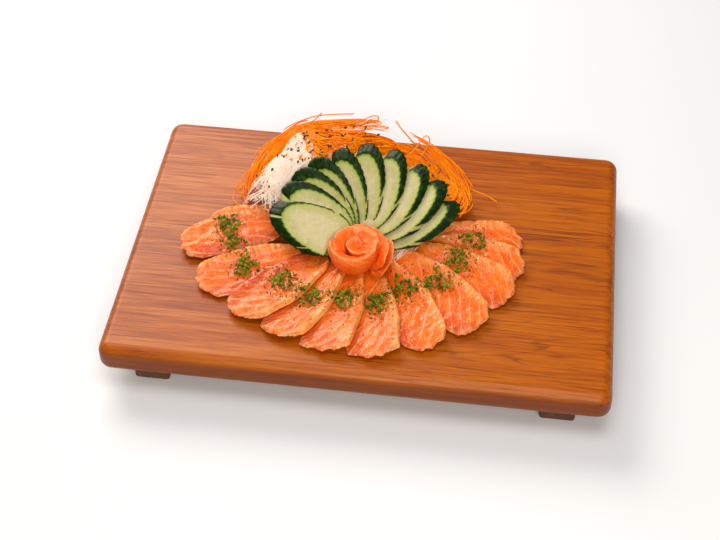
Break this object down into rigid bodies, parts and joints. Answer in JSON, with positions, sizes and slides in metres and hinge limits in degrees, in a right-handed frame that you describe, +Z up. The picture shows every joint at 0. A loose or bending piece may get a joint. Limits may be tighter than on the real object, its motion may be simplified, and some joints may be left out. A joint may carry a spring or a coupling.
{
  "type": "salmon tataki platter",
  "caption": "Wooden serving board on two battens, with a fan of salmon slices under a salmon rose, a cucumber fan and heaps of shredded carrot and daikon.",
  "frame": {"origin": "on the ground plane under the middle of the board", "axes": "+X along the board's long side, +Y away from the diner towards the shredded vegetable, +Z up"},
  "size_m": [0.3, 0.21, 0.0732],
  "materials": {
    "board_wood": "satin, oiled brown wood with dark grain along its length",
    "foot_wood": "satin, dark brown wood",
    "salmon": "wet, glossy orange flesh with pale fat lines",
    "cucumber": "moist pale green flesh, dark green ridged rind",
    "carrot": "moist orange strands",
    "daikon": "moist, translucent white strands with a pink tint",
    "chives": "chopped green rings"
  },
  "bodies": {
    "root": {"board": "board_wood", "foot_left": "foot_wood", "foot_right": "foot_wood", "salmon_slice_01": "salmon", "salmon_slice_02": "salmon", "salmon_slice_03": "salmon", "salmon_slice_04": "salmon", "salmon_slice_05": "salmon", "salmon_slice_06": "salmon", "salmon_slice_07": "salmon", "salmon_slice_08": "salmon", "salmon_slice_09": "salmon", "salmon_slice_10": "salmon", "salmon_slice_11": "salmon", "salmon_slice_12": "salmon", "rose_heart": "salmon", "rose_back_petal": "salmon", "rose_front_petal": "salmon", "rose_right_petal": "salmon", "rose_outer_petal": "salmon", "cucumber_slice_01": "cucumber", "cucumber_slice_02": "cucumber", "cucumber_slice_03": "cucumber", "cucumber_slice_04": "cucumber", "cucumber_slice_05": "cucumber", "cucumber_slice_06": "cucumber", "cucumber_slice_07": "cucumber", "cucumber_slice_08": "cucumber", "cucumber_slice_09": "cucumber", "cucumber_slice_10": "cucumber", "daikon_heap": "daikon", "carrot_heap": "carrot", "chive_tuft_01": "chives", "chive_tuft_02": "chives", "chive_tuft_03": "chives", "chive_tuft_04": "chives", "chive_tuft_05": "chives", "chive_tuft_06": "chives", "chive_tuft_07": "chives", "chive_tuft_08": "chives", "chive_tuft_09": "chives", "chive_tuft_10": "chives", "chive_tuft_11": "chives"}
  },
  "joints": []
}
